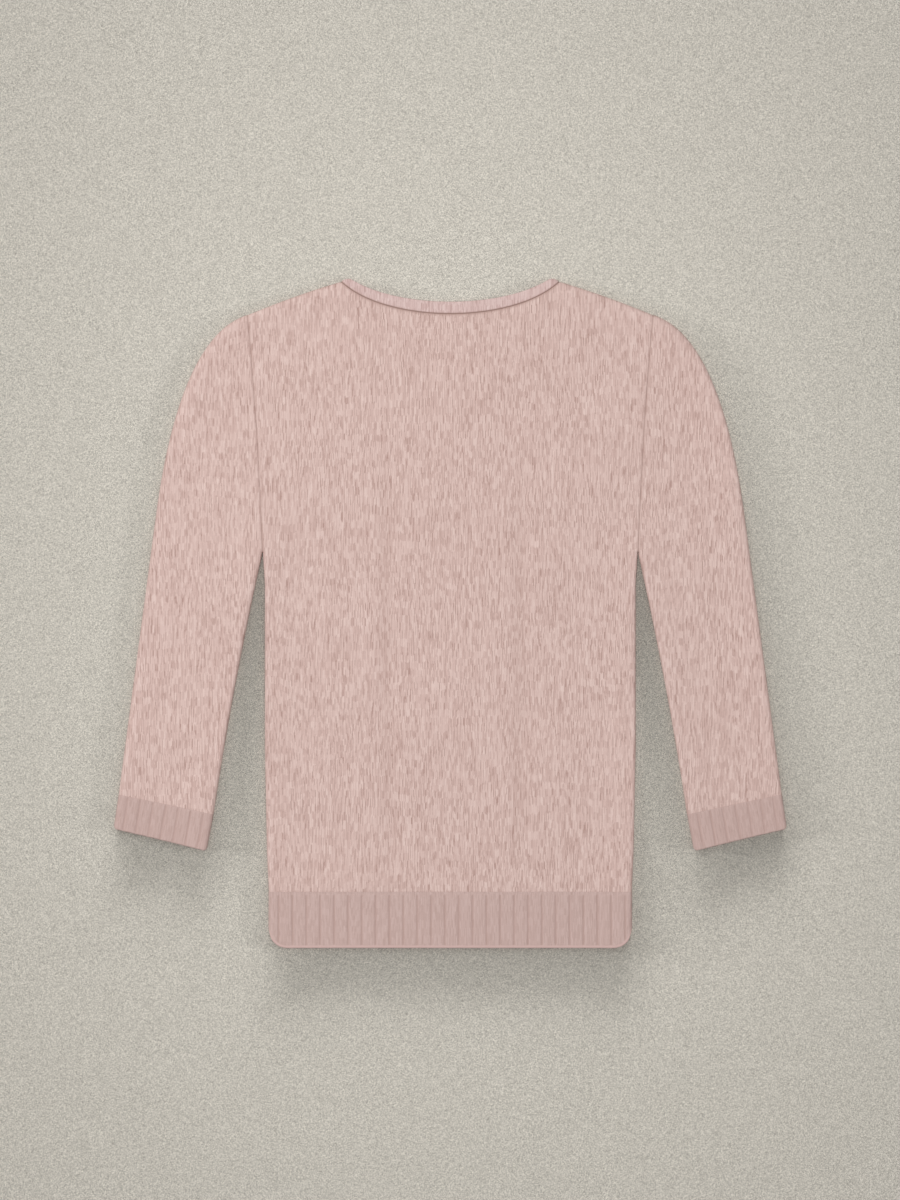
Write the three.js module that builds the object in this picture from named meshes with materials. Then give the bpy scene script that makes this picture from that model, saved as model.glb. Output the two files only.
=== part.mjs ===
// A crewneck sweater laid flat, front up: a flattened knitted body tube in two panels, two set-in
// sleeves, a neckband round the neck opening, and ribs at the hem and the cuffs.
//
// Every piece is a knitted wall. Its plan is a grid between its own edges, and its height follows
// from how far a place lies from the nearest folded edge of the whole garment: the wall turns
// through a quarter round at the fold, and then the upper layer settles towards the lower one.
//
// Millimetres. x runs from the centre line towards the wearer's left, y up the garment from the
// edge of the hem, and z up from the surface that the garment lies on.
import * as THREE from "three";
import { mergeVertices } from "three/addons/utils/BufferGeometryUtils.js";

// Driving sizes.
const KNIT_WALL = 2.4;
const RIB_WALL = 2.8;
const LOFT = 8.4; // height of the folded edges, over both layers
const SETTLE = 2.2; // how much lower the upper layer lies away from the folds
const SETTLE_REACH = 42; // distance from a fold at which the upper layer has settled
const SEAM = 0.3; // gap between two pieces that are sewn together
const ARMHOLE_SEAM = 0.45; // along x, wider because both walls turn at a slope to that seam's ends
const CUFF_SEAM = 0.6; // along the sleeve's outer fold, which leaves SEAM at the underarm
const HEM_HEIGHT = 58.8;
const HEM_CORNER = 15; // radius of the hem's rounded bottom corners

// Half the width of the body, and of the armhole above it, at heights along its side.
const SIDE = [
  { y: 0, half: 190.6 }, // hem
  { y: 59, half: 190.6 }, // top of the hem rib
  { y: 103, half: 192.7 },
  { y: 208, half: 194.8 },
  { y: 382, half: 194.8 },
  { y: 414.2, half: 196.9 }, // armpit
  { y: 452.6, half: 198.3 },
  { y: 546, half: 203.2 },
  { y: 629, half: 209.5 },
  { y: 665.7, half: 212.6 }, // shoulder tip
];
const ARMPIT = { x: 196.9, y: 414.2 };
const SHOULDER_TIP = { x: 212.6, y: 665.7 };
const NECK_POINT = { x: 112.8, y: 699.3 };
const BAND_TIP = { x: 106.8, y: 704.3 }; // top corner of the neckband

// The neck seam and the neckband's free edge dip from each side to the centre, flatter in the
// middle than a round arc: y = low + rise * (|x| / half) ^ power.
const NECK_SEAM = { low: 666.3, half: NECK_POINT.x, top: NECK_POINT.y, power: 2.4 };
const BAND_EDGE = { low: 679.2, half: BAND_TIP.x, top: BAND_TIP.y, power: 2.75 };
const BACK_DROP = 3; // how far the back neckline lies behind the front one at the centre

// The sleeve's outer fold bends round the upper arm, then runs straight down to the cuff's edge.
const SLEEVE_HEAD = {
  leave: { x: 270.6, y: 646.2 }, // handle that carries the shoulder's slope on
  arrive: { x: 296.4, y: 545.4 }, // handle that brings the curve into the straight
  end: { x: 308.5, y: 454.4 },
};
const CUFF = {
  outerTop: { x: 347.7, y: 161.3 },
  outerEnd: { x: 353.1, y: 125.2 },
  innerTop: { x: 248.2, y: 140.3 },
  innerEnd: { x: 255.5, y: 101.7 },
};
const UNDERARM_BOW = 5; // how far the underarm's handle stands off its straight line
const UNDERARM_START = 1.7; // the underarm is shorter than the outer fold, so it starts slower

// Soft vertical troughs of the front, where the upper layer has sunk towards the lower one.
const TROUGHS = [
  { x: -65, low: 75, high: 512, half: 15, depth: 0.85 },
  { x: 71, low: 75, high: 517, half: 19, depth: 0.75 },
];

// Colours of the knits.
const BODY_PINK = 0xd1b5ae;
const BAND_PINK = 0xd4b6b0;
const RIB_PINK = 0xc1a79f;

// Samples of the quarter round at a fold: their distances from it in plan.
const FOLD_RADIUS = LOFT / 2;
const ROUND_INSETS = [0, 30, 60, 90].map(
  (degrees) => FOLD_RADIUS * (1 - Math.cos(THREE.MathUtils.degToRad(degrees))),
);

// Rows of each plan, as shares of its length or heights along the body's side.
const SIDE_ROWS = [HEM_HEIGHT + SEAM, 103, 208, 300, 382];
const ARMPIT_ROWS = ROUND_INSETS.map((inset) => ARMPIT.y + inset);
const ARMHOLE_STEPS = 6; // rows up the armhole, and columns of the sleeve, which meet them there
const SLEEVE_ROWS = [0, 0.05, 0.11, 0.18, 0.26, 0.34, 0.42, 0.5, 0.6, 0.7, 0.8, 0.9, 1];
const HEM_ROWS = [0, 0.15, 0.55, 1];
const BAND_ROWS = [0, 0.5, 1];
const CUFF_ROWS = [0, 0.5, 1];

// Columns of each plan: steps between its folds, or places across the front.
const BAND_STEPS = 12;
const CUFF_STEPS = 6;
const SHOULDER_COLUMNS = [150, 190]; // outside the neck, from the centre line at the shoulders
const HEM_COLUMNS = [0, 30, 60, 90, 120, 150]; // from the centre line
const HEM_CORNER_COLUMNS = [15, 11, 7]; // from the fold, round the rounded corner

const point = ({ x, y }) => new THREE.Vector2(x, y);
const between = (a, b, share) => point(a).lerp(point(b), share);

// The half width of the body at a height, straight between the rows of SIDE.
function halfWidth(y) {
  const above = SIDE.findIndex((row) => row.y >= y);
  const hi = SIDE[above < 0 ? SIDE.length - 1 : Math.max(above, 1)];
  const lo = SIDE[SIDE.indexOf(hi) - 1];
  return THREE.MathUtils.mapLinear(y, lo.y, hi.y, lo.half, hi.half);
}

// The height of a neck curve at a distance from the centre line.
function neckHeight({ low, half, top, power }, x) {
  return low + (top - low) * Math.min(Math.abs(x) / half, 1) ** power;
}

// The same curve on the back, which dips deeper by BACK_DROP.
const backOf = (curve) => ({ ...curve, low: curve.low - BACK_DROP });

// The top outline of a body panel: its neck seam, and the shoulder's straight slope outside it.
function panelTop(seam, x) {
  if (Math.abs(x) <= NECK_POINT.x) return neckHeight(seam, x);
  const { x: x0, y: y0 } = NECK_POINT;
  return THREE.MathUtils.mapLinear(
    Math.abs(x), x0, SHOULDER_TIP.x, y0, SHOULDER_TIP.y,
  );
}

// Folded edges of the sleeve at +X, as curves from the armhole to the cuff.
const sleeveOuter = new THREE.CurvePath();
sleeveOuter.add(
  new THREE.CubicBezierCurve(
    point(SHOULDER_TIP), point(SLEEVE_HEAD.leave), point(SLEEVE_HEAD.arrive), point(SLEEVE_HEAD.end),
  ),
);
sleeveOuter.add(new THREE.LineCurve(point(SLEEVE_HEAD.end), point(CUFF.outerTop)));

const underarmLine = point(CUFF.innerTop).sub(point(ARMPIT));
const underarmSide = new THREE.Vector2(-underarmLine.y, underarmLine.x).normalize();
const sleeveInner = new THREE.QuadraticBezierCurve(
  point(ARMPIT),
  between(ARMPIT, CUFF.innerTop, 0.5).addScaledVector(underarmSide, UNDERARM_BOW),
  point(CUFF.innerTop),
);

// A place past the end of a line, so that a rounded corner near it isn't taken for a fold's end.
const EXTEND = 30;
function past(a, b) {
  const [from, to] = [point(a), point(b)];
  return to.clone().add(to.clone().sub(from).setLength(EXTEND));
}

// The folded edges at +X that a piece turns round, as segments. Each run goes so that the outside
// lies on its left. All pieces share the outer run, from the neck over the shoulder to the cuff.
const FOLD_STEPS = 40;
const outerRun = [
  past(NECK_POINT, BAND_TIP), point(NECK_POINT),
  ...sleeveOuter.getSpacedPoints(FOLD_STEPS), past(CUFF.outerTop, CUFF.outerEnd),
];
const underarmRun = [
  past(CUFF.innerTop, CUFF.innerEnd), ...sleeveInner.getSpacedPoints(FOLD_STEPS).reverse(),
];
const sideRun = [
  ...SIDE.filter((row) => row.y <= ARMPIT.y).reverse().map((row) => new THREE.Vector2(row.half, row.y)),
  new THREE.Vector2(SIDE[0].half, SIDE[0].y - EXTEND),
];
const segmentsOf = (...runs) => runs.flatMap((run) =>
  run.slice(1).map((end, i) => ({
    start: run[i],
    along: end.clone().sub(run[i]),
    outward: new THREE.Vector2(run[i].y - end.y, end.x - run[i].x).normalize(),
  })),
);
const BODY_FOLDS = segmentsOf(outerRun, sideRun);
const ARM_FOLDS = segmentsOf(outerRun, underarmRun);

// The distance from a place to the nearest folded edge, and the direction out towards it. Within
// ON_FOLD of the edge the direction is the edge's own, because there the foot says little.
const ON_FOLD = 0.3;
function nearestFold(place, folds) {
  const side = place.x < 0 ? -1 : 1;
  const here = new THREE.Vector2(side * place.x, place.y);
  let nearest = { distance: Infinity };
  for (const segment of folds) {
    const share = here.clone().sub(segment.start).dot(segment.along) / segment.along.lengthSq();
    const along = THREE.MathUtils.clamp(share, 0, 1);
    const foot = segment.start.clone().addScaledVector(segment.along, along);
    const distance = foot.distanceTo(here);
    if (distance < nearest.distance) nearest = { distance, foot, segment };
  }
  const { distance, foot, segment } = nearest;
  const outward = distance < ON_FOLD ? segment.outward.clone() : foot.sub(here).normalize();
  outward.x *= side;
  return { distance, outward };
}

// How much lower than the folded edges the outside of the upper layer lies.
function sunk(place, distance, troughs) {
  const away = THREE.MathUtils.smoothstep(distance, FOLD_RADIUS, SETTLE_REACH);
  const bumps = troughs.map(({ x, low, high, half, depth }) => {
    const across = Math.cos((Math.PI / 2) * Math.min(Math.abs(place.x - x) / half, 1)) ** 2;
    const along = (place.y - low) / (high - low);
    return along > 0 && along < 1 ? depth * across * Math.sqrt(Math.sin(Math.PI * along)) : 0;
  });
  return SETTLE * away + Math.max(0, ...bumps);
}

// A point of the wall: over a place in plan, on the upper or the lower layer, at a depth into the
// wall from its outside. "parted" keeps two panels SEAM apart where they meet along a fold, and
// "folded" places lie on a fold that the two layers of a tube share.
function wallPoint(place, { folds, upper, depth, parted, folded, troughs = [] }) {
  const { distance, outward } = nearestFold(place, folds);
  const angle = folded ? 0 : Math.acos(Math.max(0, 1 - distance / FOLD_RADIUS));
  const gap = parted ? SEAM / 2 : 0;
  const rise = gap + (FOLD_RADIUS - gap) * Math.sin(angle) - depth * Math.sin(angle);
  const drop = upper ? sunk(place, distance, troughs) : 0;
  const pull = depth * Math.cos(angle);
  return new THREE.Vector3(
    place.x - pull * outward.x,
    place.y - pull * outward.y,
    FOLD_RADIUS + (upper ? rise - drop : -rise),
  );
}

// A closed mesh from strips of quads. Each strip is two or more rows of points of equal length,
// and it faces the side from which its rows, taken upwards, run from left to right.
const SAME_POINT = 1e-4;
function closedMesh(name, strips, material) {
  const corners = [];
  for (const rows of strips) {
    for (let i = 1; i < rows.length; i += 1) {
      for (let j = 1; j < rows[i].length; j += 1) {
        const [a, b, c, d] = [rows[i - 1][j - 1], rows[i - 1][j], rows[i][j], rows[i][j - 1]];
        corners.push(a, b, c, a, c, d);
      }
    }
  }
  const loose = new THREE.BufferGeometry().setFromPoints(corners);
  const geometry = dropFlat(mergeVertices(loose, SAME_POINT));
  geometry.computeVertexNormals();
  const mesh = new THREE.Mesh(geometry, material);
  mesh.name = name;
  return mesh;
}

// Takes out the triangles that collapsed when their corners were merged.
function dropFlat(geometry) {
  const kept = [];
  const { array } = geometry.index;
  for (let i = 0; i < array.length; i += 3) {
    const [a, b, c] = array.slice(i, i + 3);
    if (a !== b && b !== c && c !== a) kept.push(a, b, c);
  }
  return geometry.setIndex(kept);
}

const flipped = (rows) => rows.map((row) => [...row].reverse());
const columnOf = (rows, j) => rows.map((row) => row.at(j));

// One side of a wall over a plan. The ends of a tube's rows lie on its folds.
function skin(plan, options) {
  return plan.map((row) => row.map((place, j) => {
    const atEnd = j === 0 || j === row.length - 1;
    return wallPoint(place, { ...options, folded: !options.parted && atEnd });
  }));
}

// Strips that close the wall between its outside and its inside along the four edges of a grid.
function edgeStrips(outer, inner, edges) {
  const strips = {
    start: [inner[0], outer[0]],
    end: [outer.at(-1), inner.at(-1)],
    left: flipped([columnOf(inner, 0), columnOf(outer, 0)]),
    right: flipped([columnOf(outer, -1), columnOf(inner, -1)]),
  };
  return edges.map((edge) => strips[edge]);
}

// A panel: one layer, with its wall closed all round. Its plan is a grid of rows up the garment,
// each from the wearer's right to the left.
function panel(name, plan, { upper, troughs }, material) {
  const shared = { folds: BODY_FOLDS, upper, troughs, parted: true };
  const outer = skin(plan, { ...shared, depth: 0 });
  const inner = skin(plan, { ...shared, depth: KNIT_WALL });
  const strips = [outer, flipped(inner), ...edgeStrips(outer, inner, ["start", "end", "left", "right"])];
  return closedMesh(name, upper ? strips : strips.map(flipped), material);
}

// A flattened tube: an upper and a lower layer that share their folded edges at both ends of each
// row, and are cut open at the first and the last row.
function tube(name, { upperPlan, lowerPlan, wall, folds }, material) {
  const layer = (plan, upper) => {
    const outer = skin(plan, { folds, upper, depth: 0 });
    const inner = skin(plan, { folds, upper, depth: wall });
    const strips = [outer, flipped(inner), ...edgeStrips(outer, inner, ["start", "end"])];
    return upper ? strips : strips.map(flipped);
  };
  return closedMesh(name, [...layer(upperPlan, true), ...layer(lowerPlan, false)], material);
}

// Shares from 0 to 1 along a row whose two ends are folds: the samples of each quarter round,
// found by halving as the places that lie an inset from a fold, and even steps between them.
const HALVINGS = 30;
function foldedShares(placeAt, steps, folds) {
  const reach = (inset, fromEnd) => {
    let [near, far] = [0, 0.5];
    for (let turn = 0; turn < HALVINGS; turn += 1) {
      const middle = (near + far) / 2;
      const share = fromEnd ? 1 - middle : middle;
      if (nearestFold(placeAt(share), folds).distance < inset) near = middle;
      else far = middle;
    }
    return inset ? (near + far) / 2 : 0;
  };
  const first = ROUND_INSETS.map((inset) => reach(inset, false));
  const last = ROUND_INSETS.map((inset) => 1 - reach(inset, true)).reverse();
  const middle = [];
  for (let i = 1; i < steps; i += 1) {
    middle.push(THREE.MathUtils.lerp(first.at(-1), last[0], i / steps));
  }
  return [...first, ...middle, ...last];
}

// A place on the neckband: a share of the way from its right tip to its left one, and of the way
// up from its seam edge, which stays clear of the panel by a shift along the band's folded tip.
const BAND_SHIFT = 1.7 * SEAM; // leaves SEAM square to the seam all the way along
function bandPlace(seam, edge, share, up) {
  const side = 2 * share - 1;
  const lift = point(BAND_TIP).sub(point(NECK_POINT)).setLength(BAND_SHIFT);
  const seamHeight = neckHeight(seam, side * seam.half);
  const from = { x: side * (seam.half + lift.x), y: seamHeight + lift.y };
  const to = { x: side * edge.half, y: neckHeight(edge, side * edge.half) };
  return between(from, to, up);
}

// The panels' columns at the neck stand where the band's do, so that the two meet along one line.
const BAND_SHARES = foldedShares(
  (share) => bandPlace(NECK_SEAM, BAND_EDGE, share, 0.5), BAND_STEPS, BODY_FOLDS,
);

// The neckband: rows from the neck seam to its free edge.
function bandPlan(seam, edge) {
  return BAND_ROWS.map((up) => BAND_SHARES.map((share) => bandPlace(seam, edge, share, up)));
}

// A body panel: rows from the hem seam up to the shoulders and the neck seam. They start along the
// side at the side seam's heights, at the armpit's rounding and in even steps up the armhole.
function bodyPlan(seam) {
  const tip = SHOULDER_TIP;
  const slope = Math.atan2(NECK_POINT.y - tip.y, tip.x - NECK_POINT.x);
  const neck = BAND_SHARES.map((share) => (2 * share - 1) * (seam.half / tip.x));
  const shoulder = [
    ...SHOULDER_COLUMNS,
    ...ROUND_INSETS.map((inset) => tip.x - inset).reverse(),
  ].map((x) => x / tip.x);
  const shares = [...shoulder.map((share) => -share).reverse(), ...neck, ...shoulder];
  const bottom = SIDE_ROWS[0];

  // A row from a height at the side, and its place at the top where it lies under the outline.
  const row = (height, under) => shares.map((share) => {
    const x = share * halfWidth(height - under);
    const up = (height - bottom) / (tip.y - bottom);
    return { x, y: THREE.MathUtils.lerp(bottom, panelTop(seam, share * tip.x) - under, up) };
  });
  const topRows = ROUND_INSETS.map((inset) => inset / Math.cos(slope)).reverse();
  const armhole = [];
  for (let i = 1; i < ARMHOLE_STEPS; i += 1) {
    armhole.push(THREE.MathUtils.lerp(ARMPIT_ROWS.at(-1), tip.y - topRows[0], i / ARMHOLE_STEPS));
  }
  return [
    ...[...SIDE_ROWS, ...ARMPIT_ROWS, ...armhole].map((height) => row(height, 0)),
    ...topRows.map((under) => row(tip.y, under)),
  ];
}

// The hem rib: rows from its edge, which is rounded at both corners, up to the seam.
function hemPlan() {
  const half = SIDE[0].half;
  const insets = [...HEM_CORNER_COLUMNS, ...[...ROUND_INSETS].reverse()];
  const left = [...HEM_COLUMNS, ...insets.map((inset) => half - inset)];
  const places = [...left.slice(1).map((x) => -x).reverse(), ...left];
  const bottom = (x) => {
    const into = Math.max(0, Math.abs(x) - (half - HEM_CORNER));
    return HEM_CORNER - Math.sqrt(HEM_CORNER ** 2 - into ** 2);
  };
  return HEM_ROWS.map((up) =>
    places.map((x) => ({ x, y: THREE.MathUtils.lerp(bottom(x), HEM_HEIGHT, up) })),
  );
}

// One row across an arm, from its outer fold inwards, on the side that is asked for.
function armRow(placeAt, steps, side) {
  const places = foldedShares(placeAt, steps, ARM_FOLDS).map(placeAt);
  return places.map(({ x, y }) => ({ x: side * x, y }));
}

// A sleeve: rows fan from the armhole seam, whose curve the first one takes, round to the cuff.
function sleevePlan(side) {
  const end = 1 - CUFF_SEAM / sleeveOuter.getLength();
  return SLEEVE_ROWS.map((share, i) => {
    const outer = sleeveOuter.getPointAt(Math.min(share, end));
    const inner = sleeveInner.getPointAt(Math.min(share, end) ** UNDERARM_START);
    const fromSeam = THREE.MathUtils.smoothstep(share, 0, SLEEVE_ROWS[2]);
    const placeAt = (across) => {
      const place = between(outer, inner, across);
      if (i === 0) place.x = halfWidth(place.y);
      place.x += ARMHOLE_SEAM * (1 - fromSeam);
      return place;
    };
    return armRow(placeAt, ARMHOLE_STEPS, side);
  });
}

// A cuff: rows from the sleeve down to its edge.
function cuffPlan(side) {
  return CUFF_ROWS.map((down) => {
    const outer = between(CUFF.outerTop, CUFF.outerEnd, down);
    const inner = between(CUFF.innerTop, CUFF.innerEnd, down);
    const placeAt = (across) => between(outer, inner, across);
    return armRow(placeAt, CUFF_STEPS, side);
  });
}

const knit = (color) => new THREE.MeshStandardMaterial({ color, roughness: 0.95, metalness: 0 });

function makeBody() {
  const front = { upper: true, troughs: TROUGHS };
  const back = { upper: false };
  const hem = { upperPlan: hemPlan(), lowerPlan: hemPlan(), wall: RIB_WALL, folds: BODY_FOLDS };
  const band = {
    upperPlan: bandPlan(NECK_SEAM, BAND_EDGE),
    lowerPlan: bandPlan(backOf(NECK_SEAM), backOf(BAND_EDGE)),
    wall: RIB_WALL,
    folds: BODY_FOLDS,
  };
  const body = new THREE.Group();
  body.add(panel("front_panel", bodyPlan(NECK_SEAM), front, knit(BODY_PINK)));
  body.add(panel("back_panel", bodyPlan(backOf(NECK_SEAM)), back, knit(BODY_PINK)));
  body.add(tube("hem_rib", hem, knit(RIB_PINK)));
  body.add(tube("neckband", band, knit(BAND_PINK)));
  return body;
}

// The sleeve and the cuff on one side: 1 is the wearer's left, at +X, and -1 the right.
function makeArm(label, side) {
  // Plans run down the arm and from its outer fold inwards, so they are turned to run upwards and,
  // on the wearer's left, from the inner fold outwards.
  const armTube = (name, plan, wall, colour) => {
    const upwards = [...plan].reverse();
    const turned = side > 0 ? flipped(upwards) : upwards;
    const sizes = { upperPlan: turned, lowerPlan: turned, wall, folds: ARM_FOLDS };
    return tube(`${name}_${label}`, sizes, knit(colour));
  };
  const arm = new THREE.Group();
  arm.add(armTube("sleeve", sleevePlan(side), KNIT_WALL, BODY_PINK));
  arm.add(armTube("cuff", cuffPlan(side), RIB_WALL, RIB_PINK));
  return arm;
}

const sweater = new THREE.Group();
sweater.add(makeBody(), makeArm("left", 1), makeArm("right", -1));
sweater.position.y = -BAND_TIP.y / 2; // the origin is the middle of the footprint

export default sweater;
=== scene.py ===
"""A crewneck sweater in a fine heathered knit, laid flat on a pale floor with its front up.

The garment's own sizes are in millimetres: x runs from the centre line towards the wearer's left,
y runs up from the edge of the hem, and z up from the floor. Each piece is a knitted wall, worked out
as arrays on a grid and then set down in metres where the frame holds it.
"""

import bpy
import numpy as np
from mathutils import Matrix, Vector


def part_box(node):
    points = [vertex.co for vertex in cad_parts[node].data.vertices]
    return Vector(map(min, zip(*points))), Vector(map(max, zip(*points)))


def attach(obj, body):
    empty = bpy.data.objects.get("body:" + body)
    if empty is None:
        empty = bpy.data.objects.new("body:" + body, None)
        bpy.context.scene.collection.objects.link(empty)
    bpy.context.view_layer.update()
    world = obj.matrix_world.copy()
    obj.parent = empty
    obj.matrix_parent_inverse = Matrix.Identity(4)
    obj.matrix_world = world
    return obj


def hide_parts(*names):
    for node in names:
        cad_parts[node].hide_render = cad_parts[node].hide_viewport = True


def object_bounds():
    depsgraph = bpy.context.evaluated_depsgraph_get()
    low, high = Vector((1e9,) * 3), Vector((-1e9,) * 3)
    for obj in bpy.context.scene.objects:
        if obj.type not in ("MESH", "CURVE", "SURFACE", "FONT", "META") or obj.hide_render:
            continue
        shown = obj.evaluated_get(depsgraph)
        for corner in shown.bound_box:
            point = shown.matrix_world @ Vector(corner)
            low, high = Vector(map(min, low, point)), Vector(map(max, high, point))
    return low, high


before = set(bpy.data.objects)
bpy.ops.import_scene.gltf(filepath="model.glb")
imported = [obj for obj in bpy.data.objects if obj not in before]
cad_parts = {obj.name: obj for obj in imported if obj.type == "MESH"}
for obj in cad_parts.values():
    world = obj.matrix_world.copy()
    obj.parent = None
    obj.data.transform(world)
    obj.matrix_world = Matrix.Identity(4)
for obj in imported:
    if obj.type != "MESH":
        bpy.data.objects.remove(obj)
cad_low, cad_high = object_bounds()

# ---------------------------------------------------------------------------------------------
# Camera, floor and light. The camera hangs straight above a matt pale board with a fine grain. A
# soft lamp at the upper left and a faint one at the right light the cloth. The board has its own:
# a gridded panel, whose pool fades towards the corners, and low suns that draw the shadow out.
# ---------------------------------------------------------------------------------------------
MM = 0.001
VIEW_HEIGHT = 1.26  # metres of floor that the long side of the view takes in
VIEW_CENTRE = (-0.3 * MM, cad_low.y + 365.0 * MM)  # a little above the middle of the sweater
CAMERA_RISE = 3.5
SENSOR = 36.0
ROOM_LIGHT = 0.29
FLOOR_SIDE = 16.0
FLOOR_GREY = (238, 232, 220)
# The dark end of the board's colour: darker grains, and the painted shade at the grains' edges.
FLOOR_DUST_AND_SHADE = (149, 145, 137)
GRAINS = 1700.0  # grains of the board along a metre
# Painted shade: a grain's colour darkens from its middle towards its edge.
GRAIN_EDGE_PAINTED_SHADE = 0.7  # how fast a grain darkens from its middle outwards
ALL_DUST_AND_SHADE = -0.4
ALL_GREY = 0.8

scene = bpy.context.scene
scene.view_settings.view_transform = "Standard"
scene.view_settings.look = "None"


def linear(colour):
    """A display colour of 0 to 255 as linear light: the sRGB curve, undone, with an alpha of 1."""
    share = np.array(colour, float) / 255
    curve = np.where(share <= 0.04045, share / 12.92, ((share + 0.055) / 1.055) ** 2.4)
    return (*curve.tolist(), 1.0)


def new_material(name, roughness, specular):
    """A material with a Principled shader of a given roughness and specular level."""
    made = bpy.data.materials.new(name)
    made.use_nodes = True
    shader = made.node_tree.nodes["Principled BSDF"]
    shader.inputs["Roughness"].default_value = roughness
    shader.inputs["Specular IOR Level"].default_value = specular
    return made, shader


def add_node(tree, kind, inputs=None, **settings):
    """Adds a shader node with its settings. Each input takes a plain value or another's output."""
    made = tree.nodes.new("ShaderNode" + kind)
    for key, value in settings.items():
        setattr(made, key, value)
    for key, value in (inputs or {}).items():
        if isinstance(value, bpy.types.NodeSocket):
            tree.links.new(value, made.inputs[key])
        else:
            made.inputs[key].default_value = value
    return made


def blended(tree, factor, first, second):
    """The colour a share of the way from the first to the second: a colour mix takes the share in its
    input 0 and the two colours in its inputs 6 and 7."""
    mix = add_node(tree, "Mix", data_type="RGBA")
    for socket, value in ((mix.inputs[0], factor), (mix.inputs[6], first), (mix.inputs[7], second)):
        if isinstance(value, bpy.types.NodeSocket):
            tree.links.new(value, socket)
        else:
            socket.default_value = value
    return mix.outputs[2]


def board_material():
    """Pale matt board: each grain has a random tone, less its distance from the grain's middle, and
    that places its colour between a dark tone and the grey. The darkening towards each grain's edge is
    painted shade, as if the grains were rounded."""
    made, shader = new_material("pale_board", 1.0, 0.0)
    tree = made.node_tree
    place = add_node(tree, "TexCoord").outputs["Object"]
    grain = add_node(tree, "TexVoronoi", {"Vector": place, "Scale": GRAINS})
    tone = add_node(tree, "SeparateColor", {"Color": grain.outputs["Color"]}).outputs["Red"]
    grain_shaded = add_node(
        tree, "Math", {0: grain.outputs["Distance"], 1: -GRAIN_EDGE_PAINTED_SHADE, 2: tone}, operation="MULTIPLY_ADD"
    ).outputs[0]
    share = add_node(tree, "MapRange", {"Value": grain_shaded, "From Min": ALL_DUST_AND_SHADE, "From Max": ALL_GREY})
    colour = blended(tree, share.outputs["Result"], linear(FLOOR_DUST_AND_SHADE), linear(FLOOR_GREY))
    tree.links.new(colour, shader.inputs["Base Color"])
    return made


camera_data = bpy.data.cameras.new("camera")
camera_data.sensor_width = SENSOR
camera_data.lens = SENSOR * CAMERA_RISE / VIEW_HEIGHT
camera = bpy.data.objects.new("camera", camera_data)
camera.location = (*VIEW_CENTRE, CAMERA_RISE)
scene.collection.objects.link(camera)
scene.camera = camera

world = bpy.data.worlds.new("soft_room")
world.use_nodes = True
world.node_tree.nodes["Background"].inputs["Color"].default_value = (1.0, 1.0, 1.0, 1.0)
world.node_tree.nodes["Background"].inputs["Strength"].default_value = ROOM_LIGHT
scene.world = world

floor_mesh = bpy.data.meshes.new("floor")
reach = FLOOR_SIDE / 2
floor_mesh.from_pydata(
    [(-reach, -reach, 0), (reach, -reach, 0), (reach, reach, 0), (-reach, reach, 0)], [], [(0, 1, 2, 3)]
)
floor = bpy.data.objects.new("floor", floor_mesh)
floor_mesh.materials.append(board_material())
scene.collection.objects.link(floor)

SUN_WIDTH = 6.0  # degrees
LOW_SUNS = (  # bearing and height in degrees, and share of full white light
    (-90, 14, 0.085),
    (-14, 5, 0.06),
    (-2, 5, 0.09),
    (12, 5.5, 0.09),
    (30, 8.5, 0.065),
    (60, 10, 0.045),
    (82, 8, 0.08),
)


def hang(name, light, place, facing, on_floor):
    """Hangs a lamp that faces a direction. It lights the floor alone, or everything but the floor."""
    lamp = bpy.data.objects.new(name, light)
    lamp.location = place
    lamp.rotation_euler = facing.to_track_quat("-Z", "Y").to_euler()
    scene.collection.objects.link(lamp)
    lit = bpy.data.collections.new(name + "_lights")
    lit.objects.link(floor)
    lit.collection_objects[0].light_linking.link_state = "INCLUDE" if on_floor else "EXCLUDE"
    lamp.light_linking.receiver_collection = lit


def panel_light(name, size, power, grid=180.0):
    """The light of a rectangular panel, held by a grid to a beam of so many degrees."""
    light = bpy.data.lights.new(name, "AREA")
    light.shape = "RECTANGLE"
    light.size, light.size_y = size
    light.spread = np.radians(grid)
    light.energy = power
    return light


def cloth_panel(name, place, side, share):
    """A square soft panel for the cloth, which faces the middle of the floor and gives it a share of
    full white light: power = share * pi^2 * distance^3 / height."""
    place = Vector(place)
    power = share * np.pi**2 * place.length**3 / place.z
    hang(name, panel_light(name, (side, side), power), place, -place, False)


def floor_panel(name, place, size, grid, share):
    """A gridded panel that faces straight down on the floor, so that its light fades away from under
    it: power = share * pi * area."""
    power = share * np.pi * size[0] * size[1]
    hang(name, panel_light(name, size, power, grid), place, Vector((0, 0, -1)), True)


def low_sun(bearing, height, share):
    """A broad low sun for the floor. Its bearing turns from the neck's side to the left, and its
    strength = share * pi / the sine of its height."""
    name = f"low_sun_{bearing}"
    turn, lift = np.radians((bearing, height))
    away = Vector((-np.sin(turn) * np.cos(lift), np.cos(turn) * np.cos(lift), np.sin(lift)))
    light = bpy.data.lights.new(name, "SUN")
    light.angle = np.radians(SUN_WIDTH)
    light.energy = share * np.pi / np.sin(lift)
    hang(name, light, (0, 0, 0), -away, True)


cloth_panel("cloth_lamp", (-1.7, 1.05, 3.9), 2.4, 0.71)
cloth_panel("cloth_fill", (3.4, -1.4, 2.0), 2.6, 0.08)
floor_panel("floor_pool", (-0.06, 0.15, 2.2), (0.9, 1.4), 40, 0.36)
for bearing, height, share in LOW_SUNS:
    low_sun(bearing, height, share)

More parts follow.
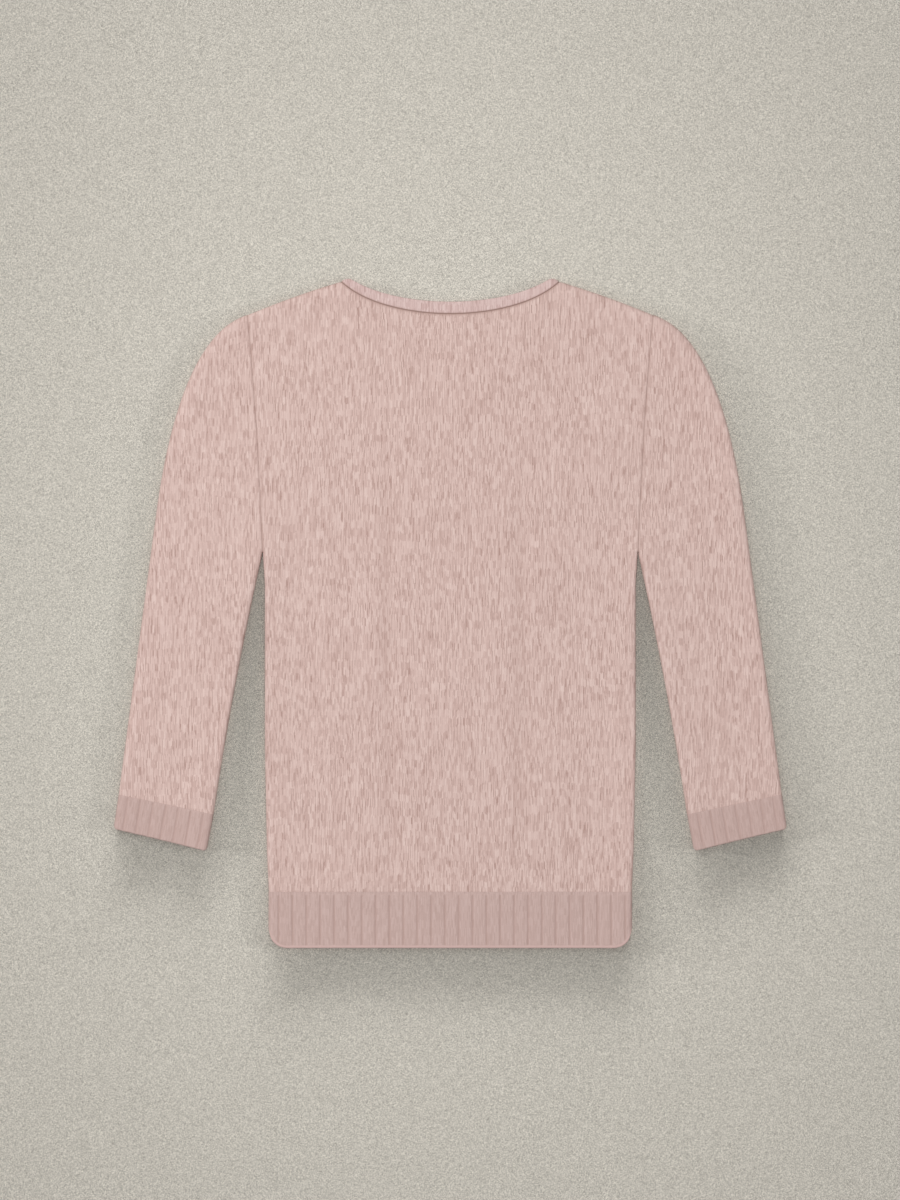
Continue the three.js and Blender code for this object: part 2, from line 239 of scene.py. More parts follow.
# ---------------------------------------------------------------------------------------------
# Body: a front and a back panel in fine stockinette, linked to each other at the sides and the
# shoulders. Laid flat, the cloth turns round at those edges, and the front settles onto the back.
# The heather comes from two tones of pink spun together, which run as short streaks up the wales.
# ---------------------------------------------------------------------------------------------
KNIT_WALL = 2.4
LOFT = (cad_high.z - cad_low.z) / MM  # height of the folded edges, over both layers
FOLD_RADIUS = LOFT / 2
LINK_GAP = 0.02  # how far a panel's linked edge stays from the middle of its fold
SETTLE = 2.0  # how much lower the front lies away from the folds
SETTLE_REACH = 42.0
FREE_FROM, FREE_AT = 1.0, 9.0  # this far from a fold the cloth starts to move, and moves freely
HEM_SEAM = (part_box("front_panel")[0].y - cad_low.y) / MM  # height where the body meets the hem rib
# The body's side from the hem's edge to the shoulder: heights, and half the width at each.
SIDE_Y = np.array([0, 59, 103, 208, 382, 414.2, 452.6, 546, 629, 664.0])
SIDE_HALF = np.array([190.6, 190.6, 192.7, 194.8, 194.8, 196.9, 198.3, 203.2, 209.5, 212.6])
ARMPIT = (196.9, 414.2)
SHOULDER_TIP = (212.6, 664.0)
SHOULDER_BOW = 1.5  # how far the shoulder line rises above a straight one at its middle
NECK_POINT = (114.6, 699.0)
BAND_TIP = (107.0, (cad_high.y - cad_low.y) / MM - 0.8)  # the neckband's corner, over the shoulder
# A neck curve is a stretch of an ellipse, from its low middle to its top at half its width.
NECK_SEAM = {"low": 665.1, "half": NECK_POINT[0], "top": NECK_POINT[1], "round": 126.0}
BACK_DROP = 3.0  # how far the back neckline lies behind the front one at the centre
PANEL_STEP = 3.3  # spacing of a panel's grid away from its edges
EDGE_STEPS = np.array([0, 0.15, 0.4, 0.8, 1.3, 1.9, 2.6, 3.4, 4.3, 5.4, 7.0, 9.2, 12.0])
NECK_STEPS = EDGE_STEPS[:8:2]
BACK_KNIT = 900.0  # how far over the back's knit coordinates lie, for streaks of its own

# Folded edges of the sleeve at +X, and of its cuff.
HEAD_LEAVE = (270.6, 646.2)
HEAD_ARRIVE = (296.4, 545.4)
HEAD_END = (308.5, 454.4)
CUFF_OUTER_TOP = (347.7, 161.3)
CUFF_OUTER_END = (353.1, 125.2)
CUFF_INNER_TOP = (248.2, 140.3)
CUFF_INNER_END = (255.5, 101.7)
UNDERARM_BOW = 5.0
CURVE_STEPS = 400
FOLD_SHARES = np.linspace(0, 1, 121)
PAST_END = 30.0  # folds are drawn on past a free edge, so that they don't bend round it
ON_FOLD = 0.3  # nearer than this, a place takes the fold's own direction

# Seams: the cloth rolls in at each edge, over a width and to a depth, and its colour darkens there:
# the seam's own darker line, partly painted shade.
SEAM_ROLL = 2.1
ARMHOLE_DEPTH = 0.5
NECK_DEPTH = 0.9
SIDE_DEPTH = 0.4
RIB_DEPTH = 0.12
ARMHOLE_SHADE = 0.5
ARMHOLE_REACH = 1.4
# The armhole's painted shade deepens towards the armpit.
ARMPIT_SHADE_TOP = 470.0  # the panels' shade deepens from here down to the armpit
ARMPIT_DEEPER = 0.5
# The neck seam's darkening on the panels: the linking yarn's darker line, partly painted shade.
NECK_SHADE = 0.85
NECK_REACH = 1.8
NECK_LEAN = 0.93  # the neck's edge slopes, so the way to it is shorter than the way up
NECK_END = 0.5  # the neck's shade runs this far past the neck point

# Creases of the front: from and to (x, y), half width, depth, and how far the middle bows aside.
# A negative depth is a ridge.
FRONT_CREASES = [
    ((-63, 70), (-68, 530), 13, 0.95, 2),
    ((-42, 95), (-46, 400), 14, -0.25, 2),
    ((71, 70), (70, 534), 14, 1.0, -2),
    ((94, 240), (92, 505), 15, -0.22, -2),
    ((194, 412), (180, 338), 7, 0.55, 2),
    ((-194, 410), (-181, 352), 7, 0.6, -2),
    ((186, 424), (146, 476), 12, 0.3, 5),
    ((-185, 426), (-150, 462), 10, 0.25, -4),
    ((150, 62), (144, 128), 8, 0.25, 1),
    ((-131, 62), (-136, 150), 9, 0.28, -2),
    ((12, 62), (9, 118), 8, 0.2, 1),
    ((-22, 62), (-19, 96), 7, 0.18, 0),
    ((108, 62), (112, 104), 7, 0.2, 0),
    ((-98, 640), (-60, 606), 14, 0.22, 4),
    ((103, 642), (58, 604), 15, 0.2, -5),
]
# The long troughs also get painted shade: their colour is darkened towards their middle.
LONG_TROUGHS = (0, 2)  # the creases deep enough to hold a little shade
TROUGH_PAINTED_SHADE = 0.17
BACK_CREASES = [
    ((-58, 80), (-62, 470), 14, -0.45, 3),
    ((66, 110), (60, 505), 15, -0.4, -4),
    ((188, 405), (150, 360), 10, -0.35, 3),
    ((-188, 402), (-148, 350), 11, -0.35, -3),
    ((4, 560), (-6, 300), 18, -0.25, 5),
]

# Slow waves of cloth that isn't pressed: waves per metre along x and y, a phase, and a height.
WAVES = np.array([
    (3.1, 5.2, 0.4, 0.42),
    (-6.4, 3.7, 2.1, 0.30),
    (9.7, 8.3, 4.0, 0.16),
    (12.9, -6.1, 1.2, 0.10),
    (-4.2, 14.6, 5.3, 0.12),
])
KNIT_ROOM = 0.95  # how far the front can sink before it meets the back
LIFT_SHARE = 0.3  # the layer on the floor shows twice this share of a high swell
LIFT_SOFT = 0.2
BLOUSE_AT = 12.0  # how far from a rib's seam the cloth swells most
BLOUSE_REACH = 9.0
BODY_BLOUSE = 0.45
LUMPS = 0.35  # how uneven the swell is along the seam
LONG_LUMP, SHORT_LUMP, LUMP_PHASE = 23.0, 8.7, 1.3


def bezier(handles):
    """Points on a Bezier curve, found by blending neighbouring handles until one place is left."""
    share = np.linspace(0, 1, CURVE_STEPS)[:, None, None]
    places = np.broadcast_to(np.array(handles, float), (CURVE_STEPS, len(handles), 2))
    while places.shape[1] > 1:
        places = (1 - share) * places[:, :-1] + share * places[:, 1:]
    return places[:, 0]


def along(path, shares):
    """Points on a line of many short steps, at shares of the length that its steps add up to."""
    gone = np.concatenate([[0], np.cumsum(np.linalg.norm(np.diff(path, axis=0), axis=1))])
    return np.stack([np.interp(np.asarray(shares) * gone[-1], gone, axis) for axis in path.T], axis=-1)


def beyond(a, b):
    """A place a little past b on the line from a: b plus the line's direction times the way past."""
    a, b = np.array(a), np.array(b)
    return b + (b - a) * PAST_END / np.linalg.norm(b - a)


def segments(*runs):
    """The short steps of folded edges, as start, step and outward normal: the step, turned left."""
    starts = np.concatenate([run[:-1] for run in runs])
    steps = np.concatenate([np.diff(run, axis=0) for run in runs])
    normals = np.stack([-steps[:, 1], steps[:, 0]], axis=-1)
    return starts, steps, normals / np.linalg.norm(normals, axis=1, keepdims=True)


SLEEVE_OUTER = np.concatenate(
    [bezier([SHOULDER_TIP, HEAD_LEAVE, HEAD_ARRIVE, HEAD_END]), [CUFF_OUTER_TOP]]
)
underarm = np.array(CUFF_INNER_TOP) - np.array(ARMPIT)
underarm_side = np.array([-underarm[1], underarm[0]]) / np.linalg.norm(underarm)
underarm_middle = (np.array(ARMPIT) + CUFF_INNER_TOP) / 2 + UNDERARM_BOW * underarm_side
SLEEVE_INNER = bezier([ARMPIT, underarm_middle, CUFF_INNER_TOP])
shoulder_share = np.linspace(0, 1, 13)
shoulder_run = np.array(NECK_POINT) + np.outer(shoulder_share, np.subtract(SHOULDER_TIP, NECK_POINT))
shoulder_run[:, 1] += SHOULDER_BOW * 4 * shoulder_share * (1 - shoulder_share)
outer_run = np.concatenate([
    [beyond(NECK_POINT, BAND_TIP)],
    shoulder_run[:-1],
    along(SLEEVE_OUTER, FOLD_SHARES),
    [beyond(CUFF_OUTER_TOP, CUFF_OUTER_END)],
])
underarm_run = np.concatenate(
    [[beyond(CUFF_INNER_TOP, CUFF_INNER_END)], along(SLEEVE_INNER, FOLD_SHARES)[::-1]]
)
below_armpit = SIDE_Y <= ARMPIT[1]
side_run = np.stack([SIDE_HALF[below_armpit], SIDE_Y[below_armpit]], axis=-1)[::-1]
side_run = np.concatenate([side_run, [(SIDE_HALF[0], -PAST_END)]])
BODY_FOLDS = segments(outer_run, side_run)
ARM_FOLDS = segments(outer_run, underarm_run)


def to_fold(x, y, folds):
    """Distance from places to the nearest folded edge, and the direction out to it.

    The foot on each step is the place's projection, held between the step's ends, and the nearest
    foot wins. On the fold itself the direction is that step's own normal.
    """
    side = np.where(x < 0, -1.0, 1.0)
    across, up = side * x, y
    distance = np.full(x.shape, np.inf)
    foot_x, foot_y, out_x, out_y = (np.zeros(x.shape) for _ in range(4))
    for (x0, y0), (dx, dy), (nx, ny) in zip(*folds):
        share = np.clip(((across - x0) * dx + (up - y0) * dy) / (dx * dx + dy * dy), 0, 1)
        fx, fy = x0 + share * dx, y0 + share * dy
        away = np.hypot(fx - across, fy - up)
        nearer = away < distance
        distance = np.where(nearer, away, distance)
        foot_x, foot_y = np.where(nearer, fx, foot_x), np.where(nearer, fy, foot_y)
        out_x, out_y = np.where(nearer, nx, out_x), np.where(nearer, ny, out_y)
    off_fold = distance > ON_FOLD
    length = np.where(off_fold, distance, 1.0)
    out_x = np.where(off_fold, (foot_x - across) / length, out_x)
    out_y = np.where(off_fold, (foot_y - up) / length, out_y)
    return distance, side * out_x, out_y


def smooth(value, low, high):
    """A share that eases from 0 at low to 1 at high: 3t^2 - 2t^3."""
    t = np.clip((value - low) / (high - low), 0, 1)
    return t * t * (3 - 2 * t)


def crease(x, y, start, end, half, depth, bow):
    """Depth of a soft crease: a squared cosine across it, and the root of a sine along it.

    The middle of the crease bows aside from the straight line as a parabola.
    """
    (x0, y0), (x1, y1) = start, end
    length = np.hypot(x1 - x0, y1 - y0)
    tx, ty = (x1 - x0) / length, (y1 - y0) / length
    run = np.clip(((x - x0) * tx + (y - y0) * ty) / length, 0, 1)
    off = (y - y0) * tx - (x - x0) * ty - bow * 4 * run * (1 - run)
    across = np.cos(np.pi / 2 * np.clip(np.abs(off) / half, 0, 1)) ** 2
    return depth * across * np.sqrt(np.sin(np.pi * run).clip(0))


def waves(x, y):
    """Height of the slow waves: a sum of sines that run in different directions."""
    return sum(h * np.sin(2 * np.pi * (kx * x + ky * y) * MM + phase) for kx, ky, phase, h in WAVES)


def held_up(relief, room):
    """Relief whose hollows stop short of the layer below, at its room: room * tanh(relief / room)."""
    return np.where(relief < 0, room * np.tanh(relief / room), relief)


def pressed(relief):
    """Relief of the layer on the floor: share * (relief + sqrt(relief^2 + soft^2) - soft). A swell
    lifts it, and a hollow eases out to share * soft below the flat, which is 0.06 mm."""
    return LIFT_SHARE * (relief + np.sqrt(relief**2 + LIFT_SOFT**2) - LIFT_SOFT)


def rolled(edge, depth):
    """How far a seam's edge has rolled in, at a distance from it: depth * (1 - sqrt(1 - t^2)), where t
    falls from 1 at the edge to 0 at the width of the roll."""
    t = 1 - np.clip(edge / SEAM_ROLL, 0, 1)
    return depth * (1 - np.sqrt(1 - t * t))


def shaded(edge, strength, reach):
    """How much a seam darkens the colour at a distance from it, partly as painted shade: strength *
    e^-(distance / reach)^2.
    """
    return strength * np.exp(-((edge / reach) ** 2))


def layer(x, y, folds, upper, wall, relief, inset, pinch=0.0, parted=0.0, folded=False):
    """Outside, inside and knit coordinates of one layer of cloth over a plan.

    Near a fold the wall turns through a quarter round: at a distance d from it the angle is
    acos(1 - d / radius). Away from it the upper layer sinks to rest on the lower one. relief lifts
    both sides, inset takes the outside in along its normal, pinch brings both sides together, and
    parted keeps the layer's edge off the middle of the fold. The knit coordinates are the plan's
    own, let out by the arc that the quarter round takes up.
    """
    side = 1.0 if upper else -1.0
    d, out_x, out_y = to_fold(x, y, folds)
    angle = np.where(folded, 0.0, np.arccos(np.clip(1 - d / FOLD_RADIUS, 0, 1)))
    rise = parted + (FOLD_RADIUS - parted) * np.sin(angle)
    sunk = SETTLE * smooth(d, FOLD_RADIUS, SETTLE_REACH) if upper else 0.0
    z = FOLD_RADIUS + side * rise - sunk + smooth(d, FREE_FROM, FREE_AT) * relief
    normal = np.stack([out_x * np.cos(angle), out_y * np.cos(angle), side * np.sin(angle)], axis=-1)
    face = np.stack([x, y, z], axis=-1)
    outer = face - (inset + pinch)[..., None] * normal
    inner = face - np.broadcast_to(wall - pinch, x.shape)[..., None] * normal
    arc = FOLD_RADIUS * (np.pi / 2 - angle - np.cos(angle))
    over = 0.0 if upper else BACK_KNIT
    knit = np.stack([side * (x + out_x * arc) + over, y + out_y * arc], axis=-1)
    return outer, inner, knit


def spread(low, high, step, start=EDGE_STEPS, end=EDGE_STEPS):
    """Places from low to high: at the steps that start and end give from each end, and between them
    at the widest even spacing that isn't wider than step."""
    first, last = low + start, high - end[::-1]
    count = max(2, int(np.ceil((last[0] - first[-1]) / step)) + 1)
    return np.concatenate([first[:-1], np.linspace(first[-1], last[0], count), last[1:]])


def quads(grid):
    """The four corners of each cell of a grid of point numbers, turning left as seen from outside."""
    return np.stack([grid[:-1, :-1], grid[:-1, 1:], grid[1:, 1:], grid[1:, :-1]], axis=-1).reshape(-1, 4)


def make_piece(name, points, strips, material, marks):
    """A mesh from points in garment millimetres and strips, each a grid of point numbers and the knit
    coordinates of its corners. marks are values that each point carries for the material."""
    faces = np.concatenate([quads(grid) for grid, _ in strips])
    uvs = []
    for grid, knit in strips:
        order = quads(np.arange(grid.size).reshape(grid.shape))
        uvs.append(knit.reshape(-1, 2)[order])
    uvs = np.concatenate(uvs).reshape(-1, 2) * MM
    hem_middle = np.array([0.0, cad_low.y, cad_low.z])
    mesh = bpy.data.meshes.new(name)
    mesh.vertices.add(len(points))
    mesh.vertices.foreach_set("co", (points * MM + hem_middle).astype(np.float32).ravel())
    mesh.loops.add(faces.size)
    mesh.loops.foreach_set("vertex_index", faces.astype(np.int32).ravel())
    mesh.polygons.add(len(faces))
    mesh.polygons.foreach_set("loop_start", np.arange(0, faces.size, 4, dtype=np.int32))
    mesh.polygons.foreach_set("use_smooth", np.ones(len(faces), bool))
    knit_layer = mesh.uv_layers.new(name="knit")
    knit_layer.uv.foreach_set("vector", uvs.astype(np.float32).ravel())
    for mark, values in marks.items():
        held = mesh.attributes.new(mark, "FLOAT", "POINT")
        held.data.foreach_set("value", values.astype(np.float32).ravel())
    mesh.update(calc_edges=True)
    mesh.materials.append(material)
    piece = bpy.data.objects.new(name, mesh)
    scene.collection.objects.link(piece)
    return piece


def rims(outer, inner, knit):
    """Strips that close a wall along the start, the end, the left and the right of its grid: each
    joins the outside's last line of points to the inside's."""
    def strip(a, b, line):
        return np.stack([a, b]), np.stack([line, line])

    start = strip(inner[0], outer[0], knit[0])
    end = strip(outer[-1], inner[-1], knit[-1])
    left = strip(inner[::-1, 0], outer[::-1, 0], knit[::-1, 0])
    right = strip(outer[::-1, -1], inner[::-1, -1], knit[::-1, -1])
    return [start, end], [left, right]


def mirrored(strips):
    """The same strips seen from below: each row runs the other way."""
    return [(grid[:, ::-1], knit[:, ::-1]) for grid, knit in strips]


def panel(name, made, upper, material, marks):
    """A single layer of cloth: its outside, its inside turned over, and a strip round each edge."""
    outer, inner, knit = made
    shape = outer.shape[:2]
    count = outer[..., 0].size
    number = np.arange(count).reshape(shape)
    ends, sides = rims(number, number + count, knit)
    strips = [(number, knit), (number[:, ::-1] + count, knit[:, ::-1]), *ends, *sides]
    points = np.concatenate([outer.reshape(-1, 3), inner.reshape(-1, 3)])
    marks = {mark: np.concatenate([v.ravel(), v.ravel()]) for mark, v in marks.items()}
    return make_piece(name, points, strips if upper else mirrored(strips), material, marks)


def tube(name, top, bottom, material, marks_top, marks_bottom):
    """An upper and a lower layer that share their points where both ends of each row fold. The tube
    is open at the first and the last row, and points that both layers don't need are left out."""
    strips, points, marks = [], [], {mark: [] for mark in marks_top}
    shared = None
    for made, layer_marks, upper in ((top, marks_top, True), (bottom, marks_bottom, False)):
        outer, inner, knit = made
        count = outer[..., 0].size
        base = 0 if shared is None else 2 * count
        number = np.arange(count).reshape(outer.shape[:2]) + base
        inside = number + count
        if shared is not None:
            for grid, twin in ((number, shared[0]), (inside, shared[1])):
                grid[:, 0], grid[:, -1] = twin[:, 0], twin[:, -1]
        shared = (number, inside)
        ends, _ = rims(number, inside, knit)
        wall = [(number, knit), (inside[:, ::-1], knit[:, ::-1]), *ends]
        strips += wall if upper else mirrored(wall)
        points += [outer.reshape(-1, 3), inner.reshape(-1, 3)]
        for mark, values in layer_marks.items():
            marks[mark] += [values.ravel(), values.ravel()]
    points = np.concatenate(points)
    marks = {mark: np.concatenate(values) for mark, values in marks.items()}
    used = np.unique(np.concatenate([grid.ravel() for grid, _ in strips]))
    renumber = np.zeros(len(points), int)
    renumber[used] = np.arange(len(used))
    strips = [(renumber[grid], knit) for grid, knit in strips]
    marks = {mark: values[used] for mark, values in marks.items()}
    return make_piece(name, points[used], strips, material, marks)


KNIT_ROUGHNESS = 0.92
KNIT_SPECULAR = 0.2
NAP = 0.08  # sheen of the loose hairs
NAP_ROUGHNESS = 0.5
WALE = 2.1 * MM  # width of one column of stitches
COURSE = 1.7 * MM  # height of one row of stitches
STREAKS = (  # width, length in rows, scatter of the ends, number of the draw, share of the tone
    (WALE / 2, 4.35, 0.45, 0.5, 0.55),
    (WALE / 4, 8.2, 31.0, 711.5, 0.16),
    (WALE * 1.5, 4.35, 0.1, 95.5, 0.07),
)
FLECKS = (WALE / 3, 4.6, 0.7, 318.5)  # stray dark fibres, laid out as the streaks are
FLECK_WEIGHT = 0.42
FLECK_RARITY = 4
FIBRE_GRAIN = (1100.0, 160.0)  # spun fibres along a metre, across the wales and up them
FUZZ_GRAIN = (2600.0, 900.0)  # loose hairs, the same way
GRAIN_DRAW = 9.0
HAIR_WEIGHT = 0.16  # share of the tone that the fibres take, and the loose hairs
HAIR_ACROSS = 0.3 * MM  # how ragged the loose hairs make a streak's sides
HAIR_ALONG = 1.6  # how ragged they make its ends, in rows
WANDER_SCALE = 9.0  # the wales wander aside this many times in a metre
WANDER = 1.5 * MM
WANDER_ROWS = 4.0
PIECE_SHIFT = 0.37  # metres: a knit's pattern is shifted by this times its number
LEG_CLIMB = 1.5  # rows that a leg would climb across a whole wale
LEG_ROUND = 0.6
BELLY = 0.45  # how much of a leg's height is lost at its ends
STITCH_HEIGHT = 0.35 * MM
FIBRE_HEIGHT = 0.35  # height of the fibres over a stitch's
# Painted shade between the stitches, as a share of the colour, and the colour's scale on their tops.
STITCH_DIP_PAINTED_SHADE = 0.16  # how much darker the dip between two stitches is
STITCH_TOP = 1.05


def knit_material(name, tones, contrast, shades, bump, number):
    """Heathered yarn in stockinette, on the piece's own knit coordinates.

    tones are the dark, middle and light yarn, and the tone at a place is a weighted sum. It takes
    streaks, which are cells along the wales, each with its own random tone: short ones a leg wide,
    whose ends lie loosely in rows, long thin ones and broad ones. It takes fibres and loose hairs,
    which make the streaks' edges ragged, and it takes off flecks: a random tone to a high power, so
    that few are dark. shades gives the tone that each of the piece's marks blends in; in creases and
    rib grooves this is painted shade, and along seams partly so. Each stitch is a V of two leaning
    legs: the bump is the rise across a leg times the rise along it. The colour follows that rise too:
    painted shade in the dip between two stitches, and a little painted light on their tops.
    """
    made, shader = new_material(name, KNIT_ROUGHNESS, KNIT_SPECULAR)
    shader.inputs["Sheen Weight"].default_value = NAP
    shader.inputs["Sheen Roughness"].default_value = NAP_ROUGHNESS
    shader.inputs["Sheen Tint"].default_value = linear(tones[2])
    tree = made.node_tree

    def sums(operation, a, b=0.0, c=0.0):
        return add_node(tree, "Math", {0: a, 1: b, 2: c}, operation=operation).outputs[0]

    place = add_node(tree, "UVMap", uv_map="knit").outputs["UV"]
    parts = add_node(tree, "SeparateXYZ", {"Vector": place})
    noise = add_node(tree, "TexNoise", {"Vector": place, "Scale": WANDER_SCALE, "Detail": 0.0})
    wander = noise.outputs["Fac"]
    shift = sums("MULTIPLY_ADD", wander, WANDER, number * PIECE_SHIFT)
    u = sums("ADD", parts.outputs["X"], shift)
    v = parts.outputs["Y"]

    def grain(across, up):
        stretched = add_node(tree, "CombineXYZ", {
            "X": sums("MULTIPLY_ADD", u, across, GRAIN_DRAW), "Y": sums("MULTIPLY", v, up),
        }).outputs[0]
        hairs = add_node(tree, "TexNoise", {"Vector": stretched, "Scale": 1.0, "Detail": 2.0})
        return hairs.outputs["Fac"]

    halves = sums("FRACT", sums("MULTIPLY", u, 1 / WALE))
    from_middle = sums("ABSOLUTE", sums("SUBTRACT", halves, 0.5))
    rows = sums("MULTIPLY_ADD", v, 1 / COURSE, sums("MULTIPLY", from_middle, LEG_CLIMB))
    fuzz = grain(*FUZZ_GRAIN)
    fibre = grain(*FIBRE_GRAIN)
    loose = sums("MULTIPLY_ADD", fuzz, HAIR_ACROSS, u)
    ragged = sums("MULTIPLY_ADD", fuzz, HAIR_ALONG, rows)

    def streaks(width, length, scatter, draw):
        column = sums("FLOOR", sums("MULTIPLY_ADD", loose, 1 / width, draw))
        chance = add_node(tree, "TexWhiteNoise", {"W": column}, noise_dimensions="1D").outputs["Value"]
        start = sums("MULTIPLY_ADD", chance, scatter, sums("MULTIPLY", wander, WANDER_ROWS))
        run = sums("MULTIPLY_ADD", ragged, 1 / length, start)
        cell = add_node(tree, "CombineXYZ", {"X": column, "Y": sums("FLOOR", run)}).outputs[0]
        return add_node(tree, "TexWhiteNoise", {"Vector": cell}, noise_dimensions="2D").outputs["Value"]

    flecks = sums("POWER", streaks(*FLECKS), FLECK_RARITY)
    yarns = [(streaks(*row), weight) for *row, weight in STREAKS]
    yarns += [(fibre, HAIR_WEIGHT), (fuzz, HAIR_WEIGHT)]
    middle = FLECK_WEIGHT / (FLECK_RARITY + 1) - sum(weight for _, weight in yarns) / 2
    heather = sums("MULTIPLY_ADD", flecks, -FLECK_WEIGHT, middle)
    for yarn, weight in yarns:
        heather = sums("MULTIPLY_ADD", yarn, weight, heather)
    ramp = add_node(tree, "ValToRGB", {"Fac": sums("MULTIPLY_ADD", heather, contrast, 0.5)})
    stops = ramp.color_ramp.elements
    stops[0].position, stops[1].position = 0.0, 1.0
    stops[0].color, stops[1].color = linear(tones[0]), linear(tones[2])
    stops.new(0.5).color = linear(tones[1])

    leg = sums("SINE", sums("MULTIPLY", sums("FRACT", sums("MULTIPLY", halves, 2.0)), np.pi))
    belly = sums("SINE", sums("MULTIPLY", sums("FRACT", rows), np.pi))
    full = sums("MULTIPLY_ADD", belly, BELLY, 1 - BELLY)
    stitch = sums("MULTIPLY", sums("POWER", leg, LEG_ROUND), full)
    # Painted shade and light: the colour is darker in the dip between two stitches and a little lighter
    # on their tops.
    light = sums("MULTIPLY_ADD", stitch, STITCH_DIP_PAINTED_SHADE, STITCH_TOP - STITCH_DIP_PAINTED_SHADE)
    colour = add_node(
        tree, "VectorMath", {0: ramp.outputs["Color"], "Scale": light}, operation="SCALE"
    ).outputs["Vector"]
    # Each mark blends its tone in. The darkening mark paints shade into creases and rib grooves; along
    # the seams it is partly the seams' own darker line, partly painted shade.
    for mark, shade_tone in shades.items():
        share = add_node(tree, "Attribute", attribute_name=mark).outputs["Fac"]
        colour = blended(tree, share, colour, linear(shade_tone))
    tree.links.new(colour, shader.inputs["Base Color"])
    height = sums("MULTIPLY_ADD", fibre, FIBRE_HEIGHT, stitch)
    rough = add_node(tree, "Bump", {"Height": height, "Strength": bump, "Distance": STITCH_HEIGHT})
    tree.links.new(rough.outputs["Normal"], shader.inputs["Normal"])
    return made


PINK_YARNS = ((181, 149, 140), (213, 184, 176), (232, 208, 200))
# Tone blended in along the seams, as their own darker line and partly painted shade, and in the long
# troughs as painted shade.
SEAM_AND_PAINTED_SHADE_TONE = (178, 148, 139)
body_knit = knit_material(
    "body_knit", PINK_YARNS, contrast=0.98, shades={"shade": SEAM_AND_PAINTED_SHADE_TONE}, bump=0.5, number=0
)


def half_width(y):
    """Half the width of the body at heights along its side, straight between the rows of its table."""
    return np.interp(y, SIDE_Y, SIDE_HALF)


def neck_height(curve, x):
    """Height of a neck curve, a stretch of an ellipse: it rises as 1 - sqrt(1 - (x / round) ^ 2)."""
    def sag(across):
        return 1 - np.sqrt(1 - (across / curve["round"]) ** 2)

    held = np.minimum(np.abs(x), curve["half"])
    return curve["low"] + (curve["top"] - curve["low"]) * sag(held) / sag(curve["half"])


def behind(curve):
    """The same curve on the back, where it dips deeper."""
    return {**curve, "low": curve["low"] - BACK_DROP}


def body_plan(seam):
    """Plan of a panel. x is each column's share of the half width. y runs up each column from the hem
    seam to the neck or the shoulder, in the shares that the rows have of the way to the tip."""
    tip_x, tip_y = SHOULDER_TIP
    neck = spread(0, NECK_POINT[0], PANEL_STEP, start=np.array([0.0]), end=NECK_STEPS)
    beside = spread(NECK_POINT[0], tip_x, PANEL_STEP, start=NECK_STEPS)
    half = np.concatenate([neck, beside[1:]]) / tip_x
    share = np.concatenate([-half[:0:-1], half])
    low = spread(HEM_SEAM, ARMPIT[1], PANEL_STEP, end=EDGE_STEPS[::2])
    high = spread(ARMPIT[1], tip_y, PANEL_STEP)
    height = np.concatenate([low, high[1:]])
    x = share * half_width(height)[:, None]
    top_x = np.abs(share) * tip_x
    shoulder = np.interp(top_x, shoulder_run[:, 0], shoulder_run[:, 1])
    top = np.where(top_x <= NECK_POINT[0], neck_height(seam, top_x), shoulder)
    up = ((height - HEM_SEAM) / (tip_y - HEM_SEAM))[:, None]
    return x, HEM_SEAM + (top - HEM_SEAM) * up, top


def body_seams(x, y, top):
    """How far the cloth rolls in at the panel's seams, and how much of their darkening it takes, which
    is partly painted shade: at each place the most that the side, the top and the hem seam give. The
    armhole's painted shade deepens towards the armpit."""
    from_side = half_width(y) - np.abs(x)
    from_top = (top - y) * np.where(np.abs(x) < NECK_POINT[0], NECK_LEAN, 1.0)
    armhole = y > ARMPIT[1]
    at_neck = np.abs(x) <= NECK_POINT[0] + NECK_END
    roll = rolled(from_side, np.where(armhole, ARMHOLE_DEPTH, SIDE_DEPTH))
    roll = np.maximum(roll, rolled(from_top, np.where(at_neck, NECK_DEPTH, SIDE_DEPTH)))
    roll = np.maximum(roll, rolled(y - HEM_SEAM, RIB_DEPTH))
    deeper = 1 + ARMPIT_DEEPER * (1 - smooth(y, ARMPIT[1], ARMPIT_SHADE_TOP))
    side_shade = shaded(from_side, ARMHOLE_SHADE * deeper * armhole, ARMHOLE_REACH)
    return roll, np.maximum(side_shade, shaded(from_top, NECK_SHADE * at_neck, NECK_REACH))


def blouse(from_seam, along_seam, lift):
    """The soft swell of cloth above a rib that draws it in: lift * e^-((distance - peak) / reach)^2,
    more or less along the seam, as a long and a short sine multiply."""
    lumps = np.sin(along_seam / LONG_LUMP) * np.sin(along_seam / SHORT_LUMP + LUMP_PHASE)
    uneven = 1 + LUMPS * lumps
    return lift * uneven * np.exp(-(((from_seam - BLOUSE_AT) / BLOUSE_REACH) ** 2))


for name, upper, creases, seam in (
    ("front_panel", True, FRONT_CREASES, NECK_SEAM),
    ("back_panel", False, BACK_CREASES, behind(NECK_SEAM)),
):
    x, y, top = body_plan(seam)
    relief = waves(x, y) + blouse(y - HEM_SEAM, x, BODY_BLOUSE)
    for row in creases:
        relief = relief - crease(x, y, *row)
    relief = held_up(relief, KNIT_ROOM) if upper else pressed(relief)
    roll, shade = body_seams(x, y, top)
    if upper:
        # Painted shade along the two long troughs, darker where they are deeper.
        for number in LONG_TROUGHS:
            shade = np.maximum(shade, TROUGH_PAINTED_SHADE * crease(x, y, *creases[number]))
    cloth = layer(x, y, BODY_FOLDS, upper, KNIT_WALL, relief, roll, parted=LINK_GAP)
    piece = panel(name.replace("panel", "knit"), cloth, upper, body_knit, {"shade": shade})
    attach(piece, "root")
    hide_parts(name)

